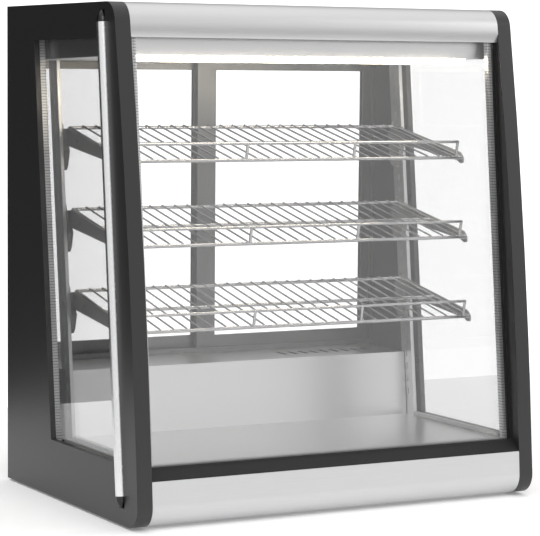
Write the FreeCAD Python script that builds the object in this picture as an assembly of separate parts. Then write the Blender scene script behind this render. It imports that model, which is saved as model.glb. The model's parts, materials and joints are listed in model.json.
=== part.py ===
import FreeCAD, Part
import math
import os

# Refrigerated countertop display case for bakery goods: slanted double-glazed front, glazed
# sides in black frames, two sliding rear doors, three wire shelves, cooling unit at the rear base.
# Millimetres.  X is the width, the customer side faces -Y, +Z is up.
# The origin is the middle of the footprint, on the counter.

V = FreeCAD.Vector

# ---- overall ----
WIDTH = 620.0            # outside of one side frame to outside of the other
DEPTH = 448.0
HEIGHT = 690.0
FOOT_H = 3.0
FIT = 0.3                # gap round each piece that moves or drops in

# ---- side frames ----
NOSE_R = 29.0            # round of the outline at the front foot
CROWN_R = 28.0           # round of the outline at the top front corner
CROWN_SETBACK = 102.7    # centre of the crown round, behind the front plane
FRONT_BOW_R = 6200.0     # gentle outward bow of the front edge
SIDE_LEAN = 6.3          # degrees; window, trim tube and pilasters lean by it
WINDOW_REAR_Y = 97.2     # rear edge of the window at mid height
WINDOW_Z0 = 83.0
WINDOW_TOP_DROP = 49.0   # top edge of the window below the top of the case
WINDOW_MID_Z = 400.0     # height at which the leaning edges are placed
WINDOW_LAP = 16.0        # how far the glass runs behind the edge of the window

# ---- glazing ----
GLASS_RECESS = 8.0       # outer side pane in from the outside of the frame
PANE_T = 3.0
GAP_T = 8.0              # air gap of the side units, held by the spacer
SPACER_W = 7.0
SPACER_INSET = 7.0       # spacer behind the edge of the window
FRONT_PANE_T = 4.0
FRONT_GAP_T = 9.0
FRONT_LEAN = 5.93        # degrees
FRONT_RECESS = 21.7      # outer glass behind the front plane, at the sill
SILL_Z = 88.0            # height where the recess is measured
FRONT_GASKET = 3.0
FRONT_SEALANT = 3.0
FRONT_SPACER_W = 6.0

# ---- trim tubes ----
TRIM_R = 8.0
TRIM_Y = -137.3          # centre line at mid height
TRIM_LEAN = 5.9          # degrees
TRIM_Z0 = 42.0
TRIM_TOP_DROP = 27.0
CAP_LEN = 16.0
CAP_TIP_R = 1.0

# ---- canopy and bumper ----
SHEET = 1.2
EXTRUSION_T = 2.5
CANOPY_REST = 18.0       # canopy runs back this far behind the glass
CANOPY_DROP = 34.0       # lower edge of the face below the top of the case
LIP_DROP = 12.5          # lip below the face, down to the glass
BUMPER_TOP = 66.0
BUMPER_BACK = 38.0
GLASS_FOOT_Z = 72.0      # underside of the front glazing
SILL_STRIP_T = 2.0
SILL_STRIP_TOP = 82.0
SILL_NOSE = 1.0

# ---- top and light box ----
TOP_T = 34.0
CEILING_DROP_FRONT = 70.0    # ceiling below the top of the case
CEILING_DROP_REAR = 77.0
CEILING_SIDE_GAP = 2.0
CEILING_FRONT_GAP = 8.0  # light box behind the glass
LAMP_H = 8.0
LAMP_W = 20.0
LAMP_SETBACK = 8.0
LAMP_END_GAP = 30.0
LAMP_CHAMFER = 3.0

# ---- floor and cooling box ----
DECK_Z = 82.0
DECK_T = 2.0
FLOOR_T = 30.0
SEAL_H = 6.0
SEAL_W = 8.0
RISER_Y = 66.0           # front face of the cooling box at the deck
RISER_TOP = 176.0
RISER_SIDE_GAP = 10.0
VENT_COUNT = 9
VENT_PITCH = 18.0
VENT_LEN = 36.0
VENT_SETBACK = 50.0
PARTITION_T = 10.0
PARTITION_SETBACK = 14.0
PAN_FLANGE_TOP = 30.0
PAN_LIP_TOP = 24.0
FOOT_R = 13.0
FOOT_INSET_X = 24.0
FOOT_INSET_FRONT = 60.0
FOOT_INSET_REAR = 34.0

# ---- pilasters, brackets, shelves ----
PILASTER_W = 28.0
PILASTER_T = 5.0
PILASTER_GAP = 4.0       # pilaster to the side glass
PILASTER_Y = 95.1        # centre line at mid height
SLOT_PITCH = 19.05
SLOT_HALF = 1.5
SHELF_COUNT = 3
SHELF_STEP = 114.3       # six slot pitches
SHELF_STEP_Y = 12.6
SHELF_SIDE_GAP = 18.0    # end of a shelf to the side glass
SHELF_REAR_Y = 98.0
SHELF_REAR_Z = 518.6
SHELF_LEN = 198.0
SHELF_TILT = 12.0        # degrees, down to the front
FENCE_INSET = 11.0
WIRE_R = 1.25
RAIL_R = 2.4
WIRE_PITCH = 19.6
FENCE_H = 23.5
ARM_T = 3.0
ARM_GAP = 1.5            # end of a shelf to the bracket arm
ARM_FALL_TOP = 0.19      # slopes of the upper and lower edges of an arm
ARM_FALL_LOW = 0.126
ARM_H_REAR = 26.0
ARM_FRONT_INSET = 8.0    # arm ends behind the front rail
LOBE_W = 27.0
LOBE_DROP = 60.0
LOBE_SETBACK = 3.0       # lobe behind the middle of the pilaster
LEDGE_T = 1.5
LEDGE_BITE = 7.0         # ledge under the end of the shelf

# ---- sliding doors ----
DOOR_T = 9.0
DOOR_GAP = 4.0           # between the two doors
DOOR_BACK_INSET = 10.0   # outer door in from the back of the case
DOOR_STILE = 31.0
DOOR_SIDE_STILE = 15.0
DOOR_RAIL = 21.0
DOOR_GLASS_T = 4.0
DOOR_OVERLAP = 31.0
DOOR_CENTRE_X = -2.5     # middle of the overlap
GLASS_BITE = 6.0         # glass held in the door frame
TRACK_T = 3.0
TRACK_LIP = 8.0
TRACK_TOP_DROP = 65.0    # underside of the upper track below the top of the case
TRACK_WALL = 2.0
TRACK_H = 16.0
GLIDE_H = 4.0
JAMB_T = 5.0
PULL_T = 2.5
PULL_HALF = (6.0, 50.0)  # half width and half length of the finger strip
RIB_PITCH = 10.0

# ---- machine compartment ----
GRILLE_T = 2.0
GRILLE_INSET = 3.0       # grille in from the back of the side frames
GRILLE_Z0 = 6.0
LOUVRE_PITCH = 9.0
FAN_R = 52.0
FAN_T = 20.0
EVAP_FAN_R = 32.0
EVAP_FAN_T = 12.0
BLADE_COUNT = 5
BLADE_PITCH = 28.0       # degrees
SCREW_R = 3.5
SCREW_HEAD_H = 2.0
SCREW_SHANK_R = 1.6
SCREW_HOLE_R = 1.7
SCREW_EDGE = 16.0        # outer screws in from the side frames
SCREW_LOW_Z = 18.0
LOUVRE_XS = (-180.0, -80.0, 20.0)
LOUVRE_LEN = 84.0
LOUVRE_Z0 = 36.0
LOUVRE_TOP_GAP = 60.0
PAN_TOP = FOOT_H + SHEET
SHAFT_R = 2.0
SHAFT_FIT = 0.05
FIN_PITCH = 6.0
COIL_ROW_PITCH = 18.0
BEND_R = 4.5             # return bends of the coil tube
TUBE_R = 2.2
COMPRESSOR_R = 50.0
COMPRESSOR_H = 104.0
COMPRESSOR_ROUND = 22.0

HALF = WIDTH / 2
INNER = HALF - GLASS_RECESS - 2 * PANE_T - GAP_T
FRONT_Y = -DEPTH / 2
BACK_Y = DEPTH / 2
LEAN = math.tan(math.radians(SIDE_LEAN))
CEILING_Z_FRONT = HEIGHT - CEILING_DROP_FRONT
CEILING_Z_REAR = HEIGHT - CEILING_DROP_REAR
TRACK_TOP_Z = HEIGHT - TRACK_TOP_DROP
RISER_HALF = INNER - RISER_SIDE_GAP
PILASTER_X = INNER - PILASTER_GAP - PILASTER_T
SHELF_HALF = INNER - SHELF_SIDE_GAP
PARTITION_X = RISER_HALF / 4
SCREW_HIGH_Z = RISER_TOP - TRACK_H / 2

# ---- controls in the rear panel: x0, x1, z0, z1 ----
CONTROL = (INNER - 138, INNER - 42, 104.0, 144.0)
SWITCHES = (INNER - 138, INNER - 42, 56.0, 86.0)
CONTROL_DEPTH = 40.0
SWITCH_DEPTH = 26.0
BEZEL_PROUD = 0.8
DISPLAY_LEN = 46.0
CONTROL_MARGIN = 8.0
SWITCH_X = (INNER - 114, INNER - 66)
ROCKER_HALF = (5.5, 9.5)
ROCKER_REST = 7.0        # degrees
PIN_R = 1.5
PIN_FIT = 0.05
PIN_SETBACK = 4.0
BUTTON_XS = (INNER - 70, INNER - 60, INNER - 50)
BUTTON_Z = 124.0
BUTTON_R = 3.2
BUTTON_PROUD = 2.6
BUTTON_LEN = 7.6
WELL_DEPTH = 8.0
GLAND_X = 58 - INNER
GLAND_Z = 40.0
GLAND_BORE_R = 3.5
GLAND_BODY_R = 7.8
GLAND_FLANGE_R = 11.0

# ---- places in the machine compartment ----
COMPRESSOR = (83 - INNER, 140.0)                            # x, y of its axis
COIL = (163 - INNER, 318 - INNER, 186.0, 210.0, 12.0, 140.0)
FAN_AXIS = (240 - INNER, 76.0)                              # x, z
EVAP_COIL = (INNER - 196, INNER - 26, 92.0, 124.0, 88.0, 158.0)
EVAP_FAN_AXIS = ((EVAP_COIL[0] + EVAP_COIL[1]) / 2, 124.0)
FAN_COIL_GAP = 6.0


# ---------- small helpers ----------

def box(x0, x1, y0, y1, z0, z1):
    return Part.makeBox(x1 - x0, y1 - y0, z1 - z0, V(x0, y0, z0))


def prism_x(points, x0, x1):
    """A flat outline of (y, z) corners, drawn out along X."""
    corners = [V(x0, y, z) for y, z in points]
    face = Part.Face(Part.makePolygon(corners + corners[:1]))
    return face.extrude(V(x1 - x0, 0, 0))


def rod(a, b, r):
    return Part.makeCylinder(r, (b - a).Length, a, b - a)


def cyl_y(x, z, y0, y1, r):
    return Part.makeCylinder(r, y1 - y0, V(x, y0, z), V(0, 1, 0))


def mirror(shape):
    return shape.mirror(V(0, 0, 0), V(1, 0, 0))


def both_sides(shape):
    return Part.makeCompound([mirror(shape), shape])


def cut(shape, tools):
    return shape.cut(Part.makeCompound(tools)) if tools else shape


def lean_y(y_mid, z):
    """Depth at height z of a line that leans like the side windows."""
    return y_mid + (z - WINDOW_MID_Z) * LEAN


# ---------- outline of the side frame ----------

def outline_circles(inset):
    """Centres and radii of the foot round, the crown round and the long bow between them."""
    foot = (FRONT_Y + NOSE_R, FOOT_H + NOSE_R)
    crown = (FRONT_Y + CROWN_SETBACK, HEIGHT - CROWN_R)
    run_a = FRONT_BOW_R - NOSE_R
    run_b = FRONT_BOW_R - CROWN_R
    dy = crown[0] - foot[0]
    dz = crown[1] - foot[1]
    gap = math.hypot(dy, dz)
    along = (run_a ** 2 - run_b ** 2 + gap ** 2) / (2 * gap)
    off = math.sqrt(run_a ** 2 - along ** 2)
    bow = (foot[0] + along * dy / gap + off * dz / gap, foot[1] + along * dz / gap - off * dy / gap)
    return foot, NOSE_R - inset, crown, CROWN_R - inset, bow, FRONT_BOW_R - inset


def on_circle(centre, r, angle):
    return V(0, centre[0] + r * math.cos(angle), centre[1] + r * math.sin(angle))


def towards(a, b):
    return math.atan2(b[1] - a[1], b[0] - a[0])


def outline_face(inset):
    """The side outline as a face in the plane X = 0, shrunk by inset."""
    foot, foot_r, crown, crown_r, bow, bow_r = outline_circles(inset)
    foot_a = towards(bow, foot)
    crown_a = towards(bow, crown)
    p_foot = on_circle(bow, bow_r, foot_a)
    p_crown = on_circle(bow, bow_r, crown_a)
    p_bow = on_circle(bow, bow_r, (foot_a % (2 * math.pi) + crown_a % (2 * math.pi)) / 2)
    low = V(0, foot[0], FOOT_H + inset)
    high = V(0, crown[0], HEIGHT - inset)
    back_low = V(0, BACK_Y - inset, FOOT_H + inset)
    back_high = V(0, BACK_Y - inset, HEIGHT - inset)
    foot_mid = on_circle(foot, foot_r, (foot_a % (2 * math.pi) + 1.5 * math.pi) / 2)
    crown_mid = on_circle(crown, crown_r, (crown_a % (2 * math.pi) + 0.5 * math.pi) / 2)
    edges = [
        Part.LineSegment(low, back_low).toShape(),
        Part.LineSegment(back_low, back_high).toShape(),
        Part.LineSegment(back_high, high).toShape(),
        Part.Arc(high, crown_mid, p_crown).toShape(),
        Part.Arc(p_crown, p_bow, p_foot).toShape(),
        Part.Arc(p_foot, foot_mid, low).toShape(),
    ]
    return Part.Face(Part.Wire(edges))


def outline_solid(inset, x0, x1):
    face = outline_face(inset)
    face.translate(V(x0, 0, 0))
    return face.extrude(V(x1 - x0, 0, 0))


def skin(x0, x1, thickness):
    """A shell that follows the outline."""
    return outline_solid(0, x0, x1).cut(outline_solid(thickness, x0 - 1, x1 + 1))


# ---------- side window ----------

def window_corners(grow):
    """The window outline, (y, z), grown all round; the rear and front edges lean together."""
    z0 = WINDOW_Z0 - grow
    z1 = HEIGHT - WINDOW_TOP_DROP + grow
    side = grow / math.cos(math.radians(SIDE_LEAN))
    rear = WINDOW_REAR_Y + side
    front = TRIM_Y + TRIM_R - 3 - side
    return [(lean_y(front, z0), z0), (lean_y(rear, z0), z0), (lean_y(rear, z1), z1), (lean_y(front, z1), z1)]


def window_slab(grow, x0, x1):
    return prism_x(window_corners(grow), x0, x1)


def window_ring(outer, inner, x0, x1):
    return window_slab(outer, x0, x1).cut(window_slab(inner, x0 - 1, x1 + 1))


def side_levels():
    """X of the faces of the side glazing, from the room to the inside."""
    outer = INNER + PANE_T * 2 + GAP_T
    return outer, outer - PANE_T, outer - PANE_T - GAP_T, INNER


# ---------- front glazing: x, depth inwards, distance up the slope ----------

def front_slab(x0, x1, d0, d1, s0, s1):
    slab = box(x0, x1, d0, d1, s0, s1)
    slab.rotate(V(0, 0, 0), V(1, 0, 0), -FRONT_LEAN)
    slab.translate(V(0, FRONT_Y + FRONT_RECESS, SILL_Z))
    return slab


def front_span():
    """Lower and upper ends of the front unit along the slope."""
    cosine = math.cos(math.radians(FRONT_LEAN))
    return (GLASS_FOOT_Z - SILL_Z) / cosine, (HEIGHT - CANOPY_DROP + 8 - SILL_Z) / cosine


def front_ring(margin_out, margin_in, d0, d1):
    s0, s1 = front_span()
    outer = front_slab(-INNER + margin_out, INNER - margin_out, d0, d1, s0 + margin_out, s1 - margin_out)
    inner = front_slab(
        -INNER + margin_in, INNER - margin_in, d0 - 1, d1 + 1, s0 + margin_in, s1 - margin_in
    )
    return outer.cut(inner)


def glass_y(z):
    """Outer face of the front glass at height z."""
    return FRONT_Y + FRONT_RECESS + (z - SILL_Z) * math.tan(math.radians(FRONT_LEAN))


def behind_front_glass(z):
    """Inner face of the front unit at height z."""
    return glass_y(z) + (2 * FRONT_PANE_T + FRONT_GAP_T) / math.cos(math.radians(FRONT_LEAN))


def edge_y(z):
    """Front edge of the outline at height z, between the two rounds."""
    bow, bow_r = outline_circles(0)[4:]
    return bow[0] - math.sqrt(bow_r ** 2 - (z - bow[1]) ** 2)


def canopy_back_y():
    """Joint between the canopy and the top cover."""
    return behind_front_glass(HEIGHT - TOP_T) + CANOPY_REST


# ---------- outer shell ----------

def trim_point(z):
    return V(HALF, TRIM_Y + (z - WINDOW_MID_Z) * math.tan(math.radians(TRIM_LEAN)), z)


def trim_rod(r, z0, z1):
    return rod(trim_point(z0), trim_point(z1), r)


def trim_top_z():
    return HEIGHT - TRIM_TOP_DROP


def trim_cap(z, direction):
    """A bullet-shaped plug on one end of the trim tube."""
    arc = Part.Arc(V(TRIM_R, 0, 0), V(TRIM_R * 0.76, 0, CAP_LEN * 0.6), V(CAP_TIP_R, 0, CAP_LEN)).toShape()
    tip = Part.LineSegment(V(CAP_TIP_R, 0, CAP_LEN), V(0, 0, CAP_LEN)).toShape()
    side = Part.LineSegment(V(0, 0, CAP_LEN), V(0, 0, 0)).toShape()
    base = Part.LineSegment(V(0, 0, 0), V(TRIM_R, 0, 0)).toShape()
    cap = Part.Face(Part.Wire([base, arc, tip, side])).revolve(V(0, 0, 0), V(0, 0, 1), 360)
    axis = (trim_point(z + direction) - trim_point(z))
    cap.Placement = FreeCAD.Placement(trim_point(z), FreeCAD.Rotation(V(0, 0, 1), axis))
    return cap


def side_frame():
    outer, _, _, inner = side_levels()
    plate = outline_solid(0, inner, HALF)
    groove = trim_rod(TRIM_R + 0.05, TRIM_Z0 - CAP_LEN, trim_top_z() + CAP_LEN)
    window = window_slab(0, inner - 1, HALF + 1)
    return cut(plate, [window, window_slab(WINDOW_LAP, inner - 1, outer), groove])


def trim_tube():
    return trim_rod(TRIM_R, TRIM_Z0, trim_top_z()).cut(trim_rod(TRIM_R - SHEET, TRIM_Z0, trim_top_z()))


def trim_end_caps():
    pair = Part.makeCompound([trim_cap(trim_top_z(), 1), trim_cap(TRIM_Z0, -1)])
    return both_sides(pair)


def canopy():
    low = HEIGHT - CANOPY_DROP
    region = box(-INNER, INNER, FRONT_Y, canopy_back_y(), low, HEIGHT)
    face = skin(-INNER, INNER, EXTRUSION_T).common(region)
    lip_z = low - LIP_DROP
    lip_y = glass_y(lip_z) - 0.2
    lip = prism_x([
        (edge_y(low), low),
        (lip_y - EXTRUSION_T, lip_z),
        (lip_y, lip_z),
        (edge_y(low) + EXTRUSION_T, low),
    ], -INNER, INNER)
    return face.fuse(lip).removeSplitter()


def bumper():
    region = box(-INNER, INNER, FRONT_Y, FRONT_Y + BUMPER_BACK, FOOT_H, BUMPER_TOP)
    face = skin(-INNER, INNER, EXTRUSION_T).common(region)
    top = BUMPER_TOP
    shelf = box(-INNER, INNER, edge_y(top) + 1, glass_y(top), top - EXTRUSION_T, top)
    return face.fuse(shelf).removeSplitter()


def top_panel():
    """A folded sheet cover, open below."""
    x = INNER - SHEET
    front = canopy_back_y()
    cover = box(-INNER, INNER, front, BACK_Y, HEIGHT - TOP_T, HEIGHT)
    return cover.cut(box(-x, x, front + SHEET, BACK_Y - SHEET, HEIGHT - TOP_T - 1, HEIGHT - SHEET))


# ---------- glazing ----------

def side_glazing():
    outer, gap_out, gap_in, inner = side_levels()
    edge = WINDOW_LAP - 2
    spacer_out = SPACER_INSET + SPACER_W
    gasket = window_ring(WINDOW_LAP, edge, inner, outer)
    return {
        "side_glass_outer": window_slab(edge, gap_out, outer),
        "side_glass_inner": window_slab(edge, inner, gap_in),
        "side_glass_spacers": window_ring(min(spacer_out, edge), SPACER_INSET, gap_in, gap_out),
        "side_glass_gaskets": gasket,
    }


def front_sill():
    """A sloping sill under the glass that covers the upper flange of the bumper."""
    nose = edge_y(BUMPER_TOP) + SILL_NOSE
    return prism_x([
        (nose, BUMPER_TOP),
        (nose, BUMPER_TOP + SILL_NOSE),
        (glass_y(SILL_STRIP_TOP) - SILL_STRIP_T / 2, SILL_STRIP_TOP - SILL_STRIP_T),
        (glass_y(BUMPER_TOP), BUMPER_TOP),
    ], -INNER, INNER)


def front_glazing():
    s0, s1 = front_span()
    pane_edge = FRONT_GASKET
    spacer_edge = FRONT_GASKET + FRONT_SEALANT
    depth = 2 * FRONT_PANE_T + FRONT_GAP_T
    x_edge = INNER - pane_edge

    def pane(d0):
        return front_slab(-x_edge, x_edge, d0, d0 + FRONT_PANE_T, s0 + pane_edge, s1 - pane_edge)

    gap = (FRONT_PANE_T, FRONT_PANE_T + FRONT_GAP_T)
    strip_top = (SILL_STRIP_TOP - SILL_Z) / math.cos(math.radians(FRONT_LEAN))
    strip = front_slab(-INNER, INNER, -SILL_STRIP_T, 0, s0, strip_top)
    sealant = front_ring(pane_edge - 0.5, spacer_edge, *gap)
    gasket = front_ring(0, pane_edge, 0, depth).fuse([sealant, strip, front_sill()])
    return {
        "front_glass_outer": pane(0),
        "front_glass_inner": pane(FRONT_PANE_T + FRONT_GAP_T),
        "front_glass_spacer": front_ring(spacer_edge, spacer_edge + FRONT_SPACER_W, *gap),
        "front_glass_gasket": gasket.removeSplitter(),
    }


# ---------- light box ----------

def ceiling_z(y):
    y0, y1 = ceiling_span()
    return CEILING_Z_FRONT + (CEILING_Z_REAR - CEILING_Z_FRONT) * (y - y0) / (y1 - y0)


def ceiling_span():
    return behind_front_glass(CEILING_Z_FRONT) + CEILING_FRONT_GAP, inner_door_y()[0] - 4


def ceiling_profile(wall, top):
    y0, y1 = ceiling_span()
    return [
        (y0 + wall, ceiling_z(y0) + wall),
        (y1 - wall, ceiling_z(y1) + wall),
        (y1 - wall, top),
        (y0 + wall, top),
    ]


def ceiling_tray():
    top = HEIGHT - TOP_T
    x = INNER - CEILING_SIDE_GAP
    outer = prism_x(ceiling_profile(0, top), -x, x)
    return outer.cut(prism_x(ceiling_profile(SHEET, top + 1), -x + SHEET, x - SHEET))


def led_lamp():
    y0 = ceiling_span()[0] + LAMP_SETBACK
    y1 = y0 + LAMP_W
    x = INNER - LAMP_END_GAP
    return prism_x([
        (y0, ceiling_z(y0)),
        (y0 + LAMP_CHAMFER, ceiling_z(y0) - LAMP_H),
        (y1 - LAMP_CHAMFER, ceiling_z(y0) - LAMP_H),
        (y1, ceiling_z(y1)),
    ], -x, x)


# ---------- floor and cooling box ----------

def insulated_floor():
    z0 = DECK_Z - DECK_T - FLOOR_T
    rear = inner_door_y()[0] - 6
    behind_glass = behind_front_glass(DECK_Z) + 1
    under_glass = glass_y(BUMPER_TOP) + FIT
    slab = prism_x([
        (under_glass, z0),
        (RISER_Y, z0),
        (RISER_Y, DECK_Z - DECK_T),
        (behind_glass, DECK_Z - DECK_T),
        (behind_glass, GLASS_FOOT_Z - 2),
        (under_glass, GLASS_FOOT_Z - 2),
    ], -INNER, INNER)
    wall = box(
        PARTITION_X, PARTITION_X + PARTITION_T, RISER_Y + PARTITION_SETBACK, rear, z0, RISER_TOP - SHEET
    )
    shelf = box(PARTITION_X, RISER_HALF - SHEET, RISER_Y, rear, z0, DECK_Z - DECK_T)
    return slab.fuse([wall, shelf]).removeSplitter()


def deck_panel():
    front = behind_front_glass(DECK_Z) + 1
    return box(-INNER, INNER, front, RISER_Y, DECK_Z - DECK_T, DECK_Z)


def deck_seals():
    front = behind_front_glass(DECK_Z) + 4
    rear = lean_y(PILASTER_Y - PILASTER_W / 2, DECK_Z) - 3
    return both_sides(box(INNER - 4 - SEAL_W, INNER - 4, front, rear, DECK_Z, DECK_Z + SEAL_H))


def riser_profile(wall, rear, z0):
    top = RISER_TOP - wall
    return [
        (RISER_Y + wall, z0),
        (RISER_Y + wall + (top - DECK_Z) * LEAN, top),
        (rear, top),
        (rear, z0),
    ]


def evaporator_cover():
    rear = inner_door_y()[0] - 4
    outer = prism_x(riser_profile(0, rear, DECK_Z), -RISER_HALF, RISER_HALF)
    inner = prism_x(riser_profile(SHEET, rear + 1, DECK_Z - 1), -RISER_HALF + SHEET, RISER_HALF - SHEET)
    slots = []
    y0 = RISER_Y + VENT_SETBACK
    for i in range(VENT_COUNT):
        x = RISER_HALF / 3 + i * VENT_PITCH
        slots.append(box(x, x + VENT_PITCH / 2, y0, y0 + VENT_LEN, RISER_TOP - 2 * SHEET, RISER_TOP + 1))
    return cut(outer.cut(inner), slots)


def base_pan():
    y0 = FRONT_Y + BUMPER_BACK
    y1 = BACK_Y - GRILLE_INSET - GRILLE_T
    x = INNER
    pan = box(-x, x, y0, y1, FOOT_H, FOOT_H + SHEET)
    sides = [box(a, a + SHEET, y0, y1, FOOT_H, PAN_FLANGE_TOP) for a in (-x, x - SHEET)]
    lip = box(-x, x, y1 - SHEET, y1, FOOT_H, PAN_LIP_TOP)
    pan = pan.fuse(sides + [lip]).removeSplitter()
    return cut(pan, screw_holes(y1, SCREW_LOW_Z))


def feet():
    x = INNER - FOOT_INSET_X
    spots = [(px, py) for px in (-x, x) for py in (FRONT_Y + FOOT_INSET_FRONT, BACK_Y - FOOT_INSET_REAR)]
    return Part.makeCompound([Part.makeCylinder(FOOT_R, FOOT_H, V(px, py, 0)) for px, py in spots])


# ---------- pilasters, brackets, shelves ----------

def pilaster():
    z0 = DECK_Z
    z1 = CEILING_Z_REAR - 0.5
    half = PILASTER_W / 2
    strip = prism_x([
        (lean_y(PILASTER_Y - half, z0), z0),
        (lean_y(PILASTER_Y + half, z0), z0),
        (lean_y(PILASTER_Y + half, z1), z1),
        (lean_y(PILASTER_Y - half, z1), z1),
    ], PILASTER_X, PILASTER_X + PILASTER_T)
    slots = []
    z = z0 + 30
    while z < z1 - 20:
        y = lean_y(PILASTER_Y, z)
        slots.append(box(PILASTER_X - 1, INNER, y - SLOT_HALF, y + SLOT_HALF, z, z + SLOT_PITCH / 2))
        z += SLOT_PITCH
    return cut(strip, slots)


def shelf_rear(index):
    """Rear edge of a shelf, (y, z), counted from the top."""
    return SHELF_REAR_Y - index * SHELF_STEP_Y, SHELF_REAR_Z - index * SHELF_STEP


def shelf_place(shape, index):
    """From shelf axes (x, forward = -y, up) to the tilted place of the shelf."""
    y, z = shelf_rear(index)
    shape.rotate(V(0, 0, 0), V(1, 0, 0), SHELF_TILT)
    shape.translate(V(0, y, z))
    return shape


def shelf(index):
    x = SHELF_HALF - RAIL_R
    rear = -RAIL_R
    front = -SHELF_LEN + RAIL_R
    wire_z = RAIL_R + WIRE_R - 0.6
    rods = [rod(V(-x, y, 0), V(x, y, 0), RAIL_R) for y in (rear, front, (rear + front) / 2)]
    rods += [rod(V(s * x, rear, 0), V(s * x, front, 0), RAIL_R) for s in (-1, 1)]
    spans = int(2 * x / WIRE_PITCH)
    for i in range(1, spans):
        wx = -x + 2 * x * i / spans
        rods.append(rod(V(wx, rear, wire_z), V(wx, front, wire_z), WIRE_R))
    for y in (rear, front):
        rods += [Part.makeSphere(RAIL_R, V(s * x, y, 0)) for s in (-1, 1)]
    fence = x - FENCE_INSET
    up = V(0, 0, FENCE_H)
    rods.append(rod(V(-fence, front, FENCE_H), V(fence, front, FENCE_H), RAIL_R - 0.4))
    for px in (-fence, -fence / 3, fence / 3, fence):
        rods.append(rod(V(px, front, 0), V(px, front, 0) + up, RAIL_R - 0.4))
    for px in (-fence, fence):
        rods.append(Part.makeSphere(RAIL_R - 0.4, V(px, front, FENCE_H)))
    return shelf_place(rods[0].multiFuse(rods[1:]), index)


def bracket_pair(index):
    """Cantilever arms: a tapering plate with a ledge for the shelf and a rounded lobe on the pilaster."""
    y, z = shelf_rear(index)
    slope = math.tan(math.radians(SHELF_TILT))
    x0 = SHELF_HALF + ARM_GAP
    root = y - 8
    front = y - SHELF_LEN * math.cos(math.radians(SHELF_TILT)) + ARM_FRONT_INSET
    run = root - front
    low = z - ARM_H_REAR
    front_top = z - 1 - (run - 8) * ARM_FALL_TOP
    front_low = low - run * ARM_FALL_LOW
    plate = prism_x([
        (root, z - 1),
        (front + 8, front_top),
        (front, front_low + 8),
        (front, front_low),
        (front + 5, front_low - 1),
        (front + 14, front_low + 3),
        (root, low + 1),
    ], x0, x0 + ARM_T)
    lobe_y = lean_y(PILASTER_Y, low) + LOBE_SETBACK
    foot_y = lean_y(PILASTER_Y, z - LOBE_DROP)
    lobe = prism_x([
        (root - 1, z - 1),
        (root - 1, low),
        (root - 5, low - 6),
        (foot_y - LOBE_W / 2 + 3, z - LOBE_DROP + 7),
        (foot_y - LOBE_W / 2 + 8, z - LOBE_DROP),
        (foot_y + LOBE_W / 2 - 6, z - LOBE_DROP),
        (foot_y + LOBE_W / 2 - 1, z - LOBE_DROP + 7),
        (lobe_y + LOBE_W / 2, z - 9),
        (lobe_y + 3, z - 6),
        (lobe_y + 1, z + 5),
        (lobe_y - 1, z - 6),
        (root + 4, z - 6),
    ], x0, PILASTER_X)
    ledge_top = -RAIL_R / math.cos(math.radians(SHELF_TILT)) - FIT
    ledge = prism_x([
        (y - 8, z - 8 * slope + ledge_top),
        (front, z - (y - front) * slope + ledge_top),
        (front, z - (y - front) * slope + ledge_top - LEDGE_T),
        (y - 8, z - 8 * slope + ledge_top - LEDGE_T),
    ], SHELF_HALF - LEDGE_BITE, x0)
    hole = Part.makeCylinder(2.6, ARM_T + 2, V(x0 - 1, y - 44, z - 18), V(1, 0, 0))
    return both_sides(plate.fuse([ledge, lobe]).removeSplitter().cut(hole))


# ---------- rear doors ----------

def outer_door_y():
    y1 = BACK_Y - DOOR_BACK_INSET
    return y1 - DOOR_T, y1


def inner_door_y():
    y1 = outer_door_y()[0] - DOOR_GAP
    return y1 - DOOR_T, y1


def track_span():
    return inner_door_y()[0] - TRACK_T - FIT, outer_door_y()[1] + FIT + TRACK_T


def track_lips(z0, z1):
    """Three lips that keep the two doors apart."""
    y0, y1 = track_span()
    middle = inner_door_y()[1] + FIT, outer_door_y()[0] - FIT
    return [box(-INNER, INNER, a, b, z0, z1) for a, b in ((y0, y0 + TRACK_T), middle, (y1 - TRACK_T, y1))]


def track_beam(y0, y1, z0, z1):
    """A hollow extrusion across the case."""
    wall = TRACK_WALL
    hollow = box(-INNER - 1, INNER + 1, y0 + wall, y1 - wall, z0 + wall, z1 - wall)
    return box(-INNER, INNER, y0, y1, z0, z1).cut(hollow)


def door_track_bottom():
    y0, y1 = track_span()
    beam = track_beam(y0, y1, RISER_TOP - TRACK_H, RISER_TOP)
    beam = beam.fuse(track_lips(RISER_TOP, RISER_TOP + TRACK_LIP)).removeSplitter()
    return cut(beam, screw_holes(y1, SCREW_HIGH_Z))


def door_track_top():
    y0, y1 = track_span()
    beam = track_beam(y0, y1, TRACK_TOP_Z, HEIGHT - TOP_T)
    return beam.fuse(track_lips(TRACK_TOP_Z - TRACK_LIP, TRACK_TOP_Z)).removeSplitter()


def door_jambs():
    y0, y1 = track_span()
    return both_sides(box(INNER - JAMB_T, INNER, y0, y1, RISER_TOP + TRACK_LIP, TRACK_TOP_Z - TRACK_LIP))


def door_place(side):
    """x span, y span and z span of a door; side is -1 for the left one, +1 for the right one."""
    reach = INNER - JAMB_T - FIT
    inner_edge = DOOR_CENTRE_X - side * DOOR_OVERLAP / 2
    xs = (-reach, inner_edge) if side < 0 else (inner_edge, reach)
    ys = outer_door_y() if side < 0 else inner_door_y()
    return xs, ys, (RISER_TOP + GLIDE_H, TRACK_TOP_Z - 3)


def door_opening(side):
    xs, _, zs = door_place(side)
    centre = DOOR_STILE
    left = DOOR_SIDE_STILE if side < 0 else centre
    right = centre if side < 0 else DOOR_SIDE_STILE
    return (xs[0] + left, xs[1] - right), (zs[0] + DOOR_RAIL, zs[1] - DOOR_RAIL)


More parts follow.
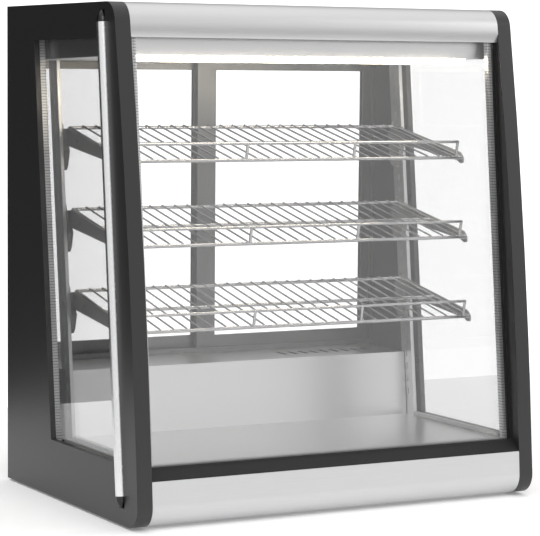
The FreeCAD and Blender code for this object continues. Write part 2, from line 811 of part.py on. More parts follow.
def door_glass(side):
    ys = door_place(side)[1]
    (x0, x1), (z0, z1) = door_opening(side)
    mid = (ys[0] + ys[1]) / 2
    half = DOOR_GLASS_T / 2
    return box(x0 - GLASS_BITE, x1 + GLASS_BITE, mid - half, mid + half, z0 - GLASS_BITE, z1 + GLASS_BITE)


def door_frame(side):
    (xa, xb), ys, (za, zb) = door_place(side)
    (x0, x1), (z0, z1) = door_opening(side)
    return cut(box(xa, xb, *ys, za, zb), [box(x0, x1, ys[0] - 1, ys[1] + 1, z0, z1), door_glass(side)])


def door_glides(side):
    (xa, xb), ys, (za, _) = door_place(side)
    z0 = RISER_TOP + FIT
    places = (xa + 20, xb - 50)
    return Part.makeCompound([box(x, x + 30, ys[0] + 0.5, ys[1] - 0.5, z0, za) for x in places])


def door_pull(side):
    """A ribbed finger strip on the room side of the outer stile."""
    (xa, xb), ys, (za, zb) = door_place(side)
    x = xa + DOOR_SIDE_STILE / 2 if side < 0 else xb - DOOR_SIDE_STILE / 2
    half_x, half_z = PULL_HALF
    y = ys[1]
    mid = (za + zb) / 2
    strip = box(x - half_x, x + half_x, y, y + PULL_T, mid - half_z, mid + half_z)
    ribs = int(half_z / RIB_PITCH)
    grooves = []
    for k in range(1 - ribs, ribs):
        z = mid + k * RIB_PITCH
        grooves.append(box(x - half_x + 2, x + half_x - 2, y + PULL_T / 2, y + PULL_T + 1, z - 3, z + 3))
    return cut(strip, grooves)


# ---------- rear panel and controls ----------

def grille_y():
    y1 = BACK_Y - GRILLE_INSET
    return y1 - GRILLE_T, y1


def grille_top():
    return RISER_TOP - 1


def screw_xs():
    x = INNER - SCREW_EDGE
    return (-x, 0, x)


def screw_holes(y, z):
    """Holes for one row of screws through a sheet whose outer face is at y."""
    return [cyl_y(x, z, y - 4, y + 1, SCREW_HOLE_R) for x in screw_xs()]


def rear_grille():
    y0, y1 = grille_y()
    panel = box(-INNER, INNER, y0, y1, GRILLE_Z0, grille_top())
    slots = []
    rows = int((grille_top() - LOUVRE_TOP_GAP) / LOUVRE_PITCH)
    for x0 in LOUVRE_XS:
        for i in range(rows):
            z = LOUVRE_Z0 + i * LOUVRE_PITCH
            slots.append(box(x0, x0 + LOUVRE_LEN, y0 - 1, y1 + 1, z, z + LOUVRE_PITCH / 2))
    holes = [box(a, b, y0 - 1, y1 + 1, c, d) for a, b, c, d in (CONTROL, SWITCHES)]
    holes += screw_holes(y1, SCREW_LOW_Z) + screw_holes(y1, SCREW_HIGH_Z)
    holes.append(cyl_y(GLAND_X, GLAND_Z, y0 - 1, y1 + 1, GLAND_BODY_R + 0.2))
    return cut(panel, slots + holes)


def rear_screws():
    y1 = grille_y()[1]
    screws = []
    for z in (SCREW_LOW_Z, SCREW_HIGH_Z):
        for x in screw_xs():
            slot = box(x - SCREW_R - 1, x + SCREW_R + 1, y1 + 1.2, y1 + 3, z - 0.4, z + 0.4)
            head = cyl_y(x, z, y1, y1 + SCREW_HEAD_H, SCREW_R).cut(slot)
            screws.append(head.fuse(cyl_y(x, z, y1 - GRILLE_T - 3, y1, SCREW_SHANK_R)))
    return Part.makeCompound(screws)


def display_block(front):
    """The display from 2 mm under the panel face out to a given depth."""
    x0, _, z0, z1 = CONTROL
    margin = CONTROL_MARGIN
    return box(x0 + margin, x0 + margin + DISPLAY_LEN, grille_y()[1] - 2, front, z0 + margin, z1 - margin)


def control_housing():
    x0, x1, z0, z1 = CONTROL
    y1 = grille_y()[1]
    body = box(x0, x1, y1 - CONTROL_DEPTH, y1 + BEZEL_PROUD, z0, z1)
    window = display_block(y1 + 2)
    wells = [cyl_y(x, BUTTON_Z, y1 - WELL_DEPTH, y1 + 2, BUTTON_R + FIT) for x in BUTTON_XS]
    return cut(body, [window] + wells)


def display_window():
    return display_block(grille_y()[1] + BEZEL_PROUD / 2)


def button(x):
    y1 = grille_y()[1] + BUTTON_PROUD
    return cyl_y(x, BUTTON_Z, y1 - BUTTON_LEN, y1, BUTTON_R)


def switch_axis_y():
    return grille_y()[1] - PIN_SETBACK


def rocker_pin(x, z, r):
    half = ROCKER_HALF[0] + 1
    return rod(V(x - half, switch_axis_y(), z), V(x + half, switch_axis_y(), z), r)


def switch_plate():
    x0, x1, z0, z1 = SWITCHES
    y1 = grille_y()[1]
    z = (z0 + z1) / 2
    plate = box(x0, x1, y1 - SWITCH_DEPTH, y1 + BEZEL_PROUD, z0, z1)
    half_x = ROCKER_HALF[0] + FIT
    half_z = ROCKER_HALF[1] + 2
    wells = [box(x - half_x, x + half_x, y1 - 16, y1 + 2, z - half_z, z + half_z) for x in SWITCH_X]
    return cut(plate, wells).fuse([rocker_pin(x, z, PIN_R) for x in SWITCH_X])


def rocker(x):
    """A V-faced rocker on its pin, resting with the upper half pressed."""
    z = (SWITCHES[2] + SWITCHES[3]) / 2
    half_x, half_z = ROCKER_HALF
    y = switch_axis_y()
    body = prism_x([
        (y - 3.5, z - half_z + 2),
        (y - 3.5, z + half_z - 2),
        (y + 5.4, z + half_z),
        (y + 4.2, z),
        (y + 5.4, z - half_z),
    ], x - half_x, x + half_x)
    body = body.cut(rocker_pin(x, z, PIN_R + PIN_FIT))
    body.rotate(V(x, y, z), V(1, 0, 0), ROCKER_REST)
    return body


def cable_gland():
    y1 = grille_y()[1]
    body = cyl_y(GLAND_X, GLAND_Z, y1 - 16, y1, GLAND_BODY_R).fuse([
        cyl_y(GLAND_X, GLAND_Z, y1, y1 + 2.8, GLAND_FLANGE_R),
        cyl_y(GLAND_X, GLAND_Z, y1 - GRILLE_T - 5, y1 - GRILLE_T, GLAND_FLANGE_R),
    ])
    return body.cut(cyl_y(GLAND_X, GLAND_Z, y1 - 20, y1 + 5, GLAND_BORE_R))


# ---------- cooling machinery ----------

def compressor():
    x, y = COMPRESSOR
    z0 = PAN_TOP
    pot = Part.makeCylinder(COMPRESSOR_R, COMPRESSOR_H, V(x, y, z0 + 10))
    pot = pot.makeFillet(COMPRESSOR_ROUND, [e for e in pot.Edges if e.Curve.TypeId == "Part::GeomCircle"])
    plate = box(x - 56, x + 56, y - 44, y + 44, z0 + 8, z0 + 11)
    legs = [Part.makeCylinder(6, 9, V(x + sx * 46, y + sy * 34, z0)) for sx in (-1, 1) for sy in (-1, 1)]
    cover = box(x + 40, x + 58, y - 16, y + 16, z0 + 40, z0 + 76)
    return pot.fuse([plate, cover] + legs).removeSplitter()


def finned_coil(x0, x1, y0, y1, z0, z1):
    """A block of fins with return bends standing out of both ends."""
    core = box(x0, x1, y0, y1, z0, z1)
    fins = []
    x = x0 + FIN_PITCH
    while x < x1 - FIN_PITCH:
        fins.append(box(x, x + FIN_PITCH / 2, y0 + 4, y1 + 1, z0 - 1, z1 + 1))
        x += FIN_PITCH
    bends = []
    first = z0 + COIL_ROW_PITCH * 2 / 3
    rows = int((z1 - first) / COIL_ROW_PITCH)
    y = (y0 + y1) / 2
    for i in range(rows):
        for end, way in ((x0, -1), (x1, 1)):
            bend = Part.makeTorus(BEND_R, TUBE_R, V(0, 0, 0), V(0, 0, 1), -180, 180, 180)
            bend.rotate(V(0, 0, 0), V(0, 0, 1), -90 * way)
            bend.rotate(V(0, 0, 0), V(1, 0, 0), 90)
            bend.translate(V(end - way * 0.4, y, first + i * COIL_ROW_PITCH))
            bends.append(bend)
    return cut(core, fins).fuse(bends)


def footed_coil(place, floor_z):
    """A finned coil on two feet."""
    x0, x1, y0, y1, z0, _ = place
    foot = box(x0, x0 + 10, y0, y1, floor_z, z0)
    return finned_coil(*place).fuse([foot, foot.translated(V(x1 - x0 - 10, 0, 0))])


def fan_motor(x, z, y0, depth, r, floor_z, shaft):
    """A round motor on a post, with its shaft towards the coil."""
    body = cyl_y(x, z, y0, y0 + depth, r)
    post = box(x - r * 0.6, x + r * 0.6, y0 + 2, y0 + depth - 2, floor_z, z)
    return body.fuse([post, shaft]).removeSplitter()


def fan_rotor(x, z, y0, y1, r):
    """Pitched blades on a hub, on an axis along Y."""
    hub_r = r * 0.28
    mid = (y0 + y1) / 2
    hub = cyl_y(x, z, y0, y1, hub_r)
    parts = []
    for i in range(BLADE_COUNT):
        blade = box(-r * 0.3, r * 0.3, -1.0, 1.0, hub_r * 0.8, r * 0.94)
        blade.rotate(V(0, 0, 0), V(0, 0, 1), BLADE_PITCH)
        blade.rotate(V(0, 0, 0), V(0, 1, 0), 360 * i / BLADE_COUNT)
        blade.translate(V(x, mid, z))
        parts.append(blade)
    rim = cyl_y(x, z, y0 - 1, y1 + 1, r)
    rotor = hub.fuse(parts).common(rim)
    return rotor.cut(cyl_y(x, z, y0 - 2, y1 + 2, SHAFT_R + SHAFT_FIT))


def condenser_fan():
    x, z = FAN_AXIS
    y1 = COIL[2] - FAN_COIL_GAP
    y0 = y1 - FAN_T
    shaft = cyl_y(x, z, y0 - 8, y1, SHAFT_R)
    motor = fan_motor(x, z, y0 - 34, 30, 20, PAN_TOP, shaft)
    return motor, fan_rotor(x, z, y0, y1, FAN_R)


def evaporator_fan():
    x, z = EVAP_FAN_AXIS
    y0 = EVAP_COIL[3] + FAN_COIL_GAP
    y1 = y0 + EVAP_FAN_T
    shaft = cyl_y(x, z, y0, y1 + 8, SHAFT_R)
    motor = fan_motor(x, z, y1 + 4, 24, 14, DECK_Z - DECK_T, shaft)
    return motor, fan_rotor(x, z, y0, y1, EVAP_FAN_R)


# ---------- every node ----------

def nodes():
    made = {
        "side_frame_left": mirror(side_frame()),
        "side_frame_right": side_frame(),
        "trim_tube_left": mirror(trim_tube()),
        "trim_tube_right": trim_tube(),
        "trim_end_caps": trim_end_caps(),
        "canopy": canopy(),
        "bumper": bumper(),
        "top_panel": top_panel(),
        "ceiling_tray": ceiling_tray(),
        "led_lamp": led_lamp(),
        "insulated_floor": insulated_floor(),
        "deck_panel": deck_panel(),
        "deck_seals": deck_seals(),
        "evaporator_cover": evaporator_cover(),
        "base_pan": base_pan(),
        "feet": feet(),
        "pilasters": both_sides(pilaster()),
        "door_track_bottom": door_track_bottom(),
        "door_track_top": door_track_top(),
        "door_jambs": door_jambs(),
        "rear_grille": rear_grille(),
        "rear_screws": rear_screws(),
        "control_housing": control_housing(),
        "display_window": display_window(),
        "switch_plate": switch_plate(),
        "cable_gland": cable_gland(),
        "compressor": compressor(),
        "condenser_coil": footed_coil(COIL, PAN_TOP),
        "evaporator_coil": footed_coil(EVAP_COIL, DECK_Z - DECK_T),
    }
    made.update({name: both_sides(shape) for name, shape in side_glazing().items()})
    made.update(front_glazing())
    for index, level in enumerate(("top", "middle", "bottom")[:SHELF_COUNT]):
        made["shelf_" + level] = shelf(index)
        made["brackets_" + level] = bracket_pair(index)
    for name, side in (("left", -1), ("right", 1)):
        made["door_" + name + "_frame"] = door_frame(side)
        made["door_" + name + "_glass"] = door_glass(side)
        made["door_" + name + "_glides"] = door_glides(side)
        made["door_" + name + "_pull"] = door_pull(side)
    for name, x in zip(("set", "up", "down"), BUTTON_XS):
        made["button_" + name] = button(x)
    for name, x in zip(("power", "light"), SWITCH_X):
        made[name + "_rocker"] = rocker(x)
    made["condenser_fan_motor"], made["condenser_fan_blades"] = condenser_fan()
    made["evaporator_fan_motor"], made["evaporator_fan_blades"] = evaporator_fan()
    return made


os.makedirs("parts", exist_ok=True)
for name, shape in nodes().items():
    shape.exportStep("parts/" + name + ".step")
    print(name, len(shape.Solids), round(shape.Volume), shape.isValid())
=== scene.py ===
import json
import math

import bpy
from mathutils import Matrix, Vector


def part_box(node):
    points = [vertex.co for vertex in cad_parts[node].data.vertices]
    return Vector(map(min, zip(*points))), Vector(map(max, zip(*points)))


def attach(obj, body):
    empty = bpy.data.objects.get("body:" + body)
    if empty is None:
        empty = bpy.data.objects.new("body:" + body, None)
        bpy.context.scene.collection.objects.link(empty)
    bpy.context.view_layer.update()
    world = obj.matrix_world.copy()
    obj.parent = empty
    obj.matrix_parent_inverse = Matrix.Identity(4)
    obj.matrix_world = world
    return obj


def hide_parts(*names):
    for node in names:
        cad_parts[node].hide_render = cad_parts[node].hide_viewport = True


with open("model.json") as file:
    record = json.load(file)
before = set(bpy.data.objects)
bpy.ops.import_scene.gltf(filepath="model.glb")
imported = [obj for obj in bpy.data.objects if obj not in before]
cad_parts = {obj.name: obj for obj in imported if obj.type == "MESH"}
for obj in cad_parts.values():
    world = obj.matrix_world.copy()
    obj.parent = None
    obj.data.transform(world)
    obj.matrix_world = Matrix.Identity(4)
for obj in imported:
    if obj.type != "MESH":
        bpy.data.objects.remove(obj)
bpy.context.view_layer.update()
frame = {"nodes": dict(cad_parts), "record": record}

MM = 0.001
WHITE = (1, 1, 1, 1)

# Height of the case, read from the frame.
TOP_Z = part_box("side_frame_right")[1][2]

# How a sharp-edged CAD mesh is rounded. Angles are in degrees.
WELD_MM = 0.01
FLAT_ANGLE = 0.6
SHARP_ANGLE = 30
SMOOTH_ANGLE = 35
ROUNDING_SEGMENTS = 3
BROAD_FACE_WEIGHT = 100

# Pieces whose arrises show, with the radius of each edge in millimetres.
EDGE_BREAK_MM = {
    "side_frame_left": 1.5,
    "side_frame_right": 1.5,
    "canopy": 0.5,
    "bumper": 0.5,
    "door_left_frame": 0.6,
    "door_right_frame": 0.6,
    "deck_seals": 1.2,
    "led_lamp": 1.0,
    "control_housing": 0.5,
    "switch_plate": 0.4,
    "feet": 0.8,
}

# Stretch of a grain, along each axis: small numbers draw it out.
ALONG_X = (0.01, 1.0, 1.0)
ALONG_Z = (1.0, 1.0, 0.01)
EVEN = (1.0, 1.0, 1.0)
GRAIN_DETAIL = 3.0
GRAIN_BUMP = 0.6
SMOOTHEST = 0.02

# Breathing holes of the glazing spacers: pitch and depth. The pitch is coarse enough to show.
HOLE_PITCH_MM = 4.0
HOLE_DEPTH_MM = 0.2
HOLE_EDGE = ((0.78, 0.0), (0.9, 1.0))
# The wave texture turns this many radians in one unit, for each unit of its scale.
WAVE_TURN = 20

GLASS_INDEX = 1.5
GLASS_ROUGHNESS = 0.02
LAMP_STRENGTH = 22.0

# The sweep that the case stands on, in metres, and its glow.
FLOOR_SIZE = 2.6
FLOOR_MIDDLE = (0, -0.4, 0)
FLOOR_GLOW = 0.16
SWEEP_STRENGTH = 1.4

# Brightness of the room from straight down (0) to straight up (1).
ROOM_IN_FRONT = ((0.0, 0.3), (0.44, 0.6), (0.5, 0.95), (0.75, 1.0), (0.9, 1.3), (1.0, 1.4))
ROOM_BEHIND = ((0.0, 0.3), (0.5, 1.0), (0.57, 1.0), (0.64, 0.4), (0.76, 0.5), (0.9, 1.3), (1.0, 1.4))
ROOM_STRENGTH = 0.95
# The room behind gives way to the room in front over this span of the direction's Y.
ROOM_TURN = (0.2, -0.2)

# A dark flag stands this way from the case. Its edge is a span of the cosine to its middle.
FLAG_DIRECTION = (-0.474, 0.876, -0.085)
FLAG_EDGE = (0.6, 0.85)
FLAG_STRENGTH = 0.04

# Soft boxes: name, place, width, height and watts.
SOFT_BOXES = (
    ("key", (-1.2, -2.6, 2.4), 1.6, 1.6, 18),
    ("fill", (2.4, -1.8, 1.4), 1.4, 1.8, 10),
)

# The eye stands to the left of the front, a little below the top of the case.
EYE = (-1.5685, -2.9076, 0.6011)
EYE_TURN = (28.3968, 4.8834, 0.4858)
FOCAL_MM = 154.08
SENSOR_MM = 36


# ---------- selection and finishing ----------

def deselect():
    bpy.ops.object.select_all(action="DESELECT")


def make_active(obj):
    deselect()
    obj.select_set(True)
    bpy.context.view_layer.objects.active = obj


def settle(obj):
    """Put the place, turn and size of an object into its mesh."""
    make_active(obj)
    bpy.ops.object.transform_apply(location=True, rotation=True, scale=True)


def weld(obj):
    """Merge the loose triangles of a copied mesh, and join those that lie flat."""
    make_active(obj)
    bpy.ops.object.mode_set(mode="EDIT")
    bpy.ops.mesh.select_all(action="SELECT")
    bpy.ops.mesh.remove_doubles(threshold=WELD_MM * MM)
    bpy.ops.mesh.dissolve_limited(angle_limit=math.radians(FLAT_ANGLE))
    bpy.ops.object.mode_set(mode="OBJECT")


def bevel(obj, width):
    """Round the edges that are sharper than an angle."""
    make_active(obj)
    modifier = obj.modifiers.new("edge break", "BEVEL")
    modifier.width = width
    modifier.segments = ROUNDING_SEGMENTS
    modifier.limit_method = "ANGLE"
    modifier.angle_limit = math.radians(SHARP_ANGLE)
    bpy.ops.object.modifier_apply(modifier=modifier.name)


def smooth(obj):
    make_active(obj)
    bpy.ops.object.shade_smooth_by_angle(angle=math.radians(SMOOTH_ANGLE))


def flatten_shading(obj):
    """Keep the broad faces flat and leave the turn of the light to the rounded edges."""
    make_active(obj)
    modifier = obj.modifiers.new("face weight", "WEIGHTED_NORMAL")
    modifier.keep_sharp = True
    modifier.weight = BROAD_FACE_WEIGHT
    bpy.ops.object.modifier_apply(modifier=modifier.name)


def coat(obj, material):
    obj.data.materials.clear()
    obj.data.materials.append(material)


def body_of(node):
    for body, members in frame["record"]["behaviour"]["bodies"].items():
        if node in members:
            return body
    return None


def stand_for(piece, *nodes):
    """Hand a finished piece over in place of the nodes that it shows."""
    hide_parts(*nodes)
    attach(piece, body_of(nodes[0]))


def round_edges(node, radius_mm, material):
    """Make a copy of a sharp-edged node, with its arrises rounded as the real piece has them."""
    piece = bpy.data.objects.new(node + "_finished", frame["nodes"][node].data.copy())
    bpy.context.collection.objects.link(piece)
    weld(piece)
    bevel(piece, radius_mm * MM)
    smooth(piece)
    flatten_shading(piece)
    coat(piece, material)
    stand_for(piece, node)


# ---------- material tools ----------

def linear(value):
    """An sRGB hex colour as linear RGBA."""
    parts = [int(value[i:i + 2], 16) / 255 for i in (1, 3, 5)]
    return tuple(c / 12.92 if c <= 0.04045 else ((c + 0.055) / 1.055) ** 2.4 for c in parts) + (1.0,)


def add_node(tree, kind, links=None, sockets=None, stops=None, **settings):
    """Add a shader node.

    Links feed its sockets and sockets sets them, both by name or number. Settings name its
    properties, or its sockets with an underscore for a space. Stops are the places and greys
    of a colour ramp.
    """
    node = tree.nodes.new(kind)
    for key, value in settings.items():
        if hasattr(node, key):
            setattr(node, key, value)
        else:
            node.inputs[key.replace("_", " ")].default_value = value
    for key, value in (sockets or {}).items():
        node.inputs[key].default_value = value
    for key, source in (links or {}).items():
        tree.links.new(source, node.inputs[key])
    if stops:
        elements = node.color_ramp.elements
        while len(elements) < len(stops):
            elements.new(0.5)
        for element, (place, grey) in zip(elements, stops):
            element.position = place
            element.color = (grey, grey, grey, 1)
    return node


def new_material(name):
    material = bpy.data.materials.new(name)
    material.use_nodes = True
    tree = material.node_tree
    tree.nodes.clear()
    return material, tree


def finish_material(tree, surface):
    add_node(tree, "ShaderNodeOutputMaterial", {"Surface": surface})


# ---------- materials ----------

def grained(name, dark, light, grain_mm, stretch, roughness, bump_mm, metallic=0.0, spread=0.06):
    """A surface whose colour, gloss and height follow one fine noise, stretched along a direction."""
    material, tree = new_material(name)
    per_metre = 1 / (grain_mm * MM)
    where = add_node(tree, "ShaderNodeTexCoord")
    place = add_node(
        tree, "ShaderNodeMapping", {"Vector": where.outputs["Object"]},
        Scale=tuple(s * per_metre for s in stretch),
    )
    noise = add_node(
        tree, "ShaderNodeTexNoise", {"Vector": place.outputs["Vector"]},
        Scale=1.0, Detail=GRAIN_DETAIL,
    )
    colour = add_node(
        tree, "ShaderNodeMix", {"Factor": noise.outputs["Fac"]}, {6: linear(dark), 7: linear(light)},
        data_type="RGBA",
    )
    gloss = add_node(
        tree, "ShaderNodeMapRange", {"Value": noise.outputs["Fac"]},
        To_Min=max(SMOOTHEST, roughness - spread), To_Max=roughness + spread,
    )
    height = add_node(
        tree, "ShaderNodeBump", {"Height": noise.outputs["Fac"]},
        Distance=bump_mm * MM, Strength=GRAIN_BUMP,
    )
    shader = add_node(tree, "ShaderNodeBsdfPrincipled", {
        "Base Color": colour.outputs[2],
        "Roughness": gloss.outputs["Result"],
        "Normal": height.outputs["Normal"],
    }, Metallic=metallic)
    finish_material(tree, shader.outputs["BSDF"])
    return material


def perforated(name, metal, hole):
    """A matt metal bar with a row of small holes along its height."""
    material, tree = new_material(name)
    where = add_node(tree, "ShaderNodeTexCoord")
    wave = add_node(
        tree, "ShaderNodeTexWave", {"Vector": where.outputs["Object"]},
        bands_direction="Z", Scale=2 * math.pi / (WAVE_TURN * HOLE_PITCH_MM * MM),
    )
    holes = add_node(tree, "ShaderNodeValToRGB", {"Fac": wave.outputs["Fac"]}, stops=HOLE_EDGE)
    colour = add_node(
        tree, "ShaderNodeMix", {"Factor": holes.outputs["Color"]}, {6: linear(metal), 7: linear(hole)},
        data_type="RGBA",
    )
    depth = add_node(
        tree, "ShaderNodeBump", {"Height": wave.outputs["Fac"]},
        Distance=HOLE_DEPTH_MM * MM, Strength=0.5, invert=True,
    )
    shader = add_node(tree, "ShaderNodeBsdfPrincipled", {
        "Base Color": colour.outputs[2],
        "Normal": depth.outputs["Normal"],
    }, Metallic=1.0, Roughness=0.35)
    finish_material(tree, shader.outputs["BSDF"])
    return material


def clear_glass(name, tint):
    """See-through glass, with the mirror share that its angle gives on either face."""
    material, tree = new_material(name)
    clear = add_node(tree, "ShaderNodeBsdfTransparent", Color=linear(tint))
    mirror = add_node(tree, "ShaderNodeBsdfGlossy", Color=WHITE, Roughness=GLASS_ROUGHNESS)
    facing = add_node(tree, "ShaderNodeNewGeometry")
    index = add_node(
        tree, "ShaderNodeMapRange", {"Value": facing.outputs["Backfacing"]},
        To_Min=GLASS_INDEX, To_Max=1 / GLASS_INDEX,
    )
    share = add_node(tree, "ShaderNodeFresnel", {"IOR": index.outputs["Result"]})
    mix = add_node(tree, "ShaderNodeMixShader", {
        0: share.outputs["Fac"],
        1: clear.outputs["BSDF"],
        2: mirror.outputs["BSDF"],
    })
    finish_material(tree, mix.outputs["Shader"])
    return material


def glowing(name, colour, roughness, glow, strength):
    """A plain surface that also gives light of its own."""
    material, tree = new_material(name)
    shader = add_node(
        tree, "ShaderNodeBsdfPrincipled", Base_Color=linear(colour), Roughness=roughness,
        Emission_Color=linear(glow), Emission_Strength=strength,
    )
    finish_material(tree, shader.outputs["BSDF"])
    return material


# Each line gives the dark and light of the grain, its size in millimetres, its stretch, its
# roughness and its height in millimetres, then how metallic it is and how far the roughness
# spreads.

# Moulded ABS with a fine spark-eroded texture: soft broad highlight, faint mottling.
black_abs = grained("moulded_black_abs", "#201f1f", "#282727", 0.6, EVEN, 0.34, 0.02)
# ABS from a polished mould: tight highlight.
gloss_abs = grained("polished_black_abs", "#0d0d0d", "#141414", 1.5, EVEN, 0.12, 0.002, spread=0.03)
# Extruded aluminium, satin anodised: die lines along the length, soft silver sheen.
satin_aluminium = grained("satin_anodised_aluminium", "#c4c4c5", "#d0d0d1", 0.5, ALONG_X, 0.34, 0.004, 1.0)
# Drawn aluminium tube, anodised: fine lines along it and a brighter sheen than the extrusions.
upright_aluminium = grained("drawn_anodised_tube", "#e4e4e5", "#efeff0", 0.5, ALONG_Z, 0.26, 0.004, 1.0)
# Stainless sheet, brushed along its width: the highlight draws out across the brushing.
brushed_stainless = grained("brushed_stainless_sheet", "#dededf", "#eaeaea", 0.35, ALONG_X, 0.30, 0.006, 1.0)
# Galvanised and passivated steel: dull silver with a faint bloom.
galvanised = grained("galvanised_steel", "#cccdce", "#e0e1e1", 4.0, EVEN, 0.42, 0.004, 1.0, 0.08)
# Powder-coated steel, grey: matt with slight orange peel.
grey_powder = grained("grey_powder_coat", "#747474", "#7e7e7e", 1.2, EVEN, 0.45, 0.02)
# Powder-coated steel, black: a little more matt than the grey.
black_powder = grained("black_powder_coat", "#1e1e1e", "#262626", 1.0, EVEN, 0.5, 0.02)
# Steel wire, nickel and chrome plated: bright mirror, a little softened.
chrome_wire = grained("chrome_plated_wire", "#b6b6b7", "#c6c6c7", 2.0, EVEN, 0.12, 0.002, 1.0, 0.04)
# Extruded and moulded rubber: near black, with almost no highlight.
black_rubber = grained("black_rubber", "#0b0b0b", "#121212", 0.8, EVEN, 0.7, 0.01)
# Extruded silicone: pale grey, softly matt.
grey_silicone = grained("grey_silicone", "#a5a7a8", "#b2b4b5", 0.8, EVEN, 0.5, 0.01)
# Roll-formed aluminium bar: matt, with a row of fine breathing holes.
spacer_aluminium = perforated("spacer_aluminium", "#cdcdce", "#8e8e8f")
# Extruded aluminium, anodised dark: die lines up the stiles, subdued sheen.
door_aluminium = grained("door_anodised_aluminium", "#6f6f6f", "#7c7c7c", 0.5, ALONG_Z, 0.38, 0.004, 1.0)
# Vacuum-formed ABS over foam: off-white and matt.
foam_skin = grained("foam_filled_abs", "#d8d7d2", "#e2e1dc", 1.5, EVEN, 0.55, 0.02)
# Moulded nylon: warm white with a waxy, broad highlight.
white_nylon = grained("white_nylon", "#e4e2da", "#eeece4", 0.8, EVEN, 0.45, 0.01)
# Cold-headed steel, zinc plated: bright, slightly blue silver.
zinc_screw = grained("zinc_plated_screw", "#b8bbbd", "#d0d2d3", 0.6, EVEN, 0.25, 0.002, 1.0)
# Smoked acrylic, cut from cast sheet: almost black with a sharp highlight.
display_acrylic = grained("smoked_acrylic", "#120607", "#1a0a0b", 3.0, EVEN, 0.08, 0.001, spread=0.02)
# Moulded grey ABS: matt keys.
button_grey = grained("grey_button_abs", "#5b5d60", "#66686b", 0.5, EVEN, 0.45, 0.01)
# Moulded polycarbonate, green: glossy.
green_rocker = grained("green_rocker_polycarbonate", "#1d6a34", "#24783d", 1.0, EVEN, 0.18, 0.002)
# Drawn steel shell, dipped and baked: black with a wet-looking highlight.
pot_enamel = grained("black_baked_enamel", "#101011", "#18181a", 1.5, EVEN, 0.22, 0.01)
# Rolled aluminium strip, stamped into fins: plain silver, matt in the mass.
fin_stock = grained("aluminium_fin_stock", "#a9adb0", "#bcc0c2", 0.8, ALONG_Z, 0.4, 0.01, 1.0)
# Sprayed paint on a cast motor shell: dark grey, satin.
motor_paint = grained("grey_motor_paint", "#3c3e40", "#46484a", 1.0, EVEN, 0.4, 0.01)
# Moulded polypropylene: black and matt.
fan_polymer = grained("black_fan_polypropylene", "#151515", "#1d1d1d", 1.0, EVEN, 0.5, 0.01)
# Float glass, toughened: flat, clear and with almost no colour.
float_glass = clear_glass("float_glass", "#fefefe")
# Extruded opal acrylic over a strip of warm-white diodes: an even glow.
lamp_opal = glowing("opal_acrylic_lamp", "#fbf6ea", 0.35, "#fff3dc", LAMP_STRENGTH)

FINISHES = (
    (black_abs, "side_frame_left side_frame_right control_housing switch_plate cable_gland"
                " door_left_pull door_right_pull"),
    (gloss_abs, "trim_end_caps"),
    (satin_aluminium, "canopy bumper"),
    (upright_aluminium, "trim_tube_left trim_tube_right"),
    (brushed_stainless, "ceiling_tray deck_panel evaporator_cover"),
    (galvanised, "pilasters base_pan"),
    (grey_powder, "brackets_top brackets_middle brackets_bottom"),
    (black_powder, "top_panel rear_grille"),
    (chrome_wire, "shelf_top shelf_middle shelf_bottom"),
    (black_rubber, "side_glass_gaskets front_glass_gasket feet"),
    (grey_silicone, "deck_seals"),
    (spacer_aluminium, "side_glass_spacers front_glass_spacer"),
    (float_glass, "side_glass_outer side_glass_inner front_glass_outer front_glass_inner"
                  " door_left_glass door_right_glass"),
    (door_aluminium, "door_left_frame door_right_frame door_jambs door_track_top door_track_bottom"),
    (foam_skin, "insulated_floor"),
    (white_nylon, "door_left_glides door_right_glides"),
    (zinc_screw, "rear_screws"),
    (display_acrylic, "display_window"),
    (button_grey, "button_set button_up button_down"),
    (green_rocker, "power_rocker light_rocker"),
    (pot_enamel, "compressor"),
    (fin_stock, "condenser_coil evaporator_coil"),
    (motor_paint, "condenser_fan_motor evaporator_fan_motor"),
    (fan_polymer, "condenser_fan_blades evaporator_fan_blades"),
    (lamp_opal, "led_lamp"),
)
MATERIAL_OF = {node: material for material, nodes in FINISHES for node in nodes.split()}


# ---------- floor, light, camera ----------

def pale_floor():
    """White sweep paper, lit a little from behind."""
    deselect()
    bpy.ops.mesh.primitive_plane_add(size=FLOOR_SIZE, location=FLOOR_MIDDLE)
    floor = bpy.context.object
    floor.name = "floor"
    settle(floor)
    coat(floor, glowing("pale_floor", "#fbfbfb", 0.7, "#ffffff", FLOOR_GLOW))


def soft_box(name, place, aim, width, height, power):
    light = bpy.data.lights.new(name, "AREA")
    light.shape = "RECTANGLE"
    light.size = width
    light.size_y = height
    light.energy = power
    lamp = bpy.data.objects.new(name, light)
    bpy.context.collection.objects.link(lamp)
    lamp.location = place
    lamp.rotation_euler = (Vector(aim) - Vector(place)).to_track_quat("-Z", "Y").to_euler()


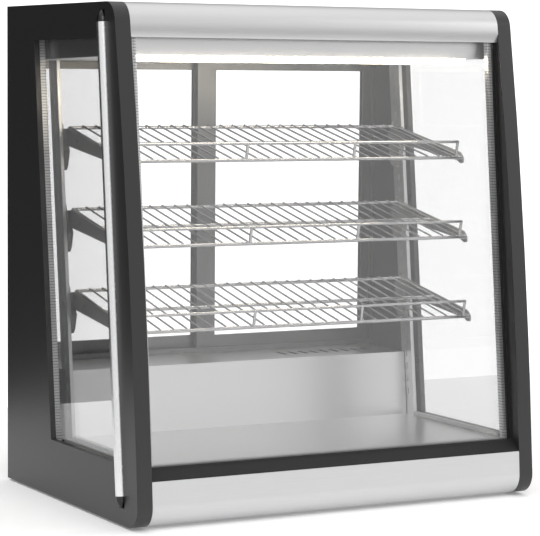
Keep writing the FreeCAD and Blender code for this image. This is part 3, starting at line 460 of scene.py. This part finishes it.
def studio_room(tree):
    """The room that lights the case: soft boxes overhead, a pale front, a dark flag behind on the left."""
    where = add_node(tree, "ShaderNodeTexCoord")
    direction = where.outputs["Generated"]
    parts = add_node(tree, "ShaderNodeSeparateXYZ", {"Vector": direction})
    height = add_node(tree, "ShaderNodeMapRange", {"Value": parts.outputs["Z"]}, From_Min=-1)
    behind = add_node(tree, "ShaderNodeValToRGB", {"Fac": height.outputs["Result"]}, stops=ROOM_BEHIND)
    in_front = add_node(tree, "ShaderNodeValToRGB", {"Fac": height.outputs["Result"]}, stops=ROOM_IN_FRONT)
    turn = add_node(
        tree, "ShaderNodeMapRange", {"Value": parts.outputs["Y"]},
        From_Min=ROOM_TURN[0], From_Max=ROOM_TURN[1],
    )
    walls = add_node(tree, "ShaderNodeMix", {
        "Factor": turn.outputs["Result"],
        6: behind.outputs["Color"],
        7: in_front.outputs["Color"],
    }, data_type="RGBA")
    flag = add_node(
        tree, "ShaderNodeVectorMath", {0: direction}, {1: FLAG_DIRECTION},
        operation="DOT_PRODUCT",
    )
    strength = add_node(
        tree, "ShaderNodeMapRange", {"Value": flag.outputs["Value"]},
        From_Min=FLAG_EDGE[0], From_Max=FLAG_EDGE[1], To_Min=ROOM_STRENGTH, To_Max=FLAG_STRENGTH,
    )
    room = add_node(tree, "ShaderNodeBackground", {
        "Color": walls.outputs[2],
        "Strength": strength.outputs["Result"],
    })
    return room.outputs["Background"]


def studio_light():
    """A white sweep behind the case, and a room of soft light round it."""
    world = bpy.data.worlds.new("studio")
    bpy.context.scene.world = world
    world.use_nodes = True
    tree = world.node_tree
    tree.nodes.clear()
    ray = add_node(tree, "ShaderNodeLightPath")
    sweep = add_node(tree, "ShaderNodeBackground", Color=WHITE, Strength=SWEEP_STRENGTH)
    mixed = add_node(tree, "ShaderNodeMixShader", {
        0: ray.outputs["Is Camera Ray"],
        1: studio_room(tree),
        2: sweep.outputs["Background"],
    })
    add_node(tree, "ShaderNodeOutputWorld", {"Surface": mixed.outputs["Shader"]})
    for name, place, width, height, power in SOFT_BOXES:
        soft_box(name, place, (0, 0, TOP_Z / 2), width, height, power)
    bpy.context.scene.view_settings.view_transform = "Standard"


def camera():
    """Yaw turns the eye to the right, pitch tips it down, and roll leans it."""
    yaw, pitch, roll = (math.radians(a) for a in EYE_TURN)
    right = Vector((math.cos(yaw), -math.sin(yaw), 0))
    ahead = Vector((math.sin(yaw) * math.cos(pitch), math.cos(yaw) * math.cos(pitch), -math.sin(pitch)))
    up = right.cross(ahead)
    side = math.cos(roll) * right + math.sin(roll) * up
    top = math.cos(roll) * up - math.sin(roll) * right
    lens = bpy.data.cameras.new("camera")
    lens.sensor_width = SENSOR_MM
    lens.lens = FOCAL_MM
    eye = bpy.data.objects.new("camera", lens)
    bpy.context.collection.objects.link(eye)
    turn = Matrix((side, top, -ahead)).transposed().to_4x4()
    eye.matrix_world = Matrix.Translation(EYE) @ turn
    bpy.context.scene.camera = eye


for node, material in MATERIAL_OF.items():
    coat(frame["nodes"][node], material)
for node, radius_mm in EDGE_BREAK_MM.items():
    round_edges(node, radius_mm, MATERIAL_OF[node])
pale_floor()
studio_light()
camera()
